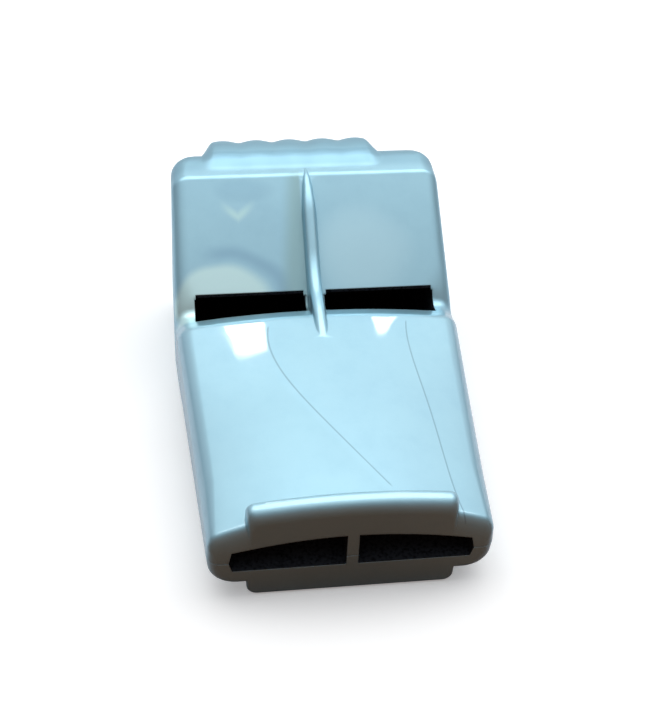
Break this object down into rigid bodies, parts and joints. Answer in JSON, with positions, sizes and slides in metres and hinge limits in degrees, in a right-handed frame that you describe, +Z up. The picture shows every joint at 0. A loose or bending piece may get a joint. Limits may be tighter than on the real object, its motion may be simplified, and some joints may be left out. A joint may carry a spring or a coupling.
{
  "type": "pealess whistle",
  "caption": "Pealess sports whistle with a flat mouthpiece, side-by-side air channels and windows, a centre fin, a ribbed rear hump and a lanyard eye.",
  "frame": {"origin": "middle of the footprint, on the plane that the belly and the lower bite ridge rest on", "axes": "+Y from the mouth end to the lanyard eye, +Z up, +X to the right when looking into the mouth opening"},
  "size_m": [0.0326, 0.0576, 0.0221],
  "materials": {
    "shell_plastic": "satin-gloss pearl blue",
    "block_plastic": "satin pearl blue"
  },
  "bodies": {
    "root": {"upper_shell": "shell_plastic", "lower_shell": "shell_plastic", "left_windway_block": "block_plastic", "right_windway_block": "block_plastic"}
  },
  "joints": []
}
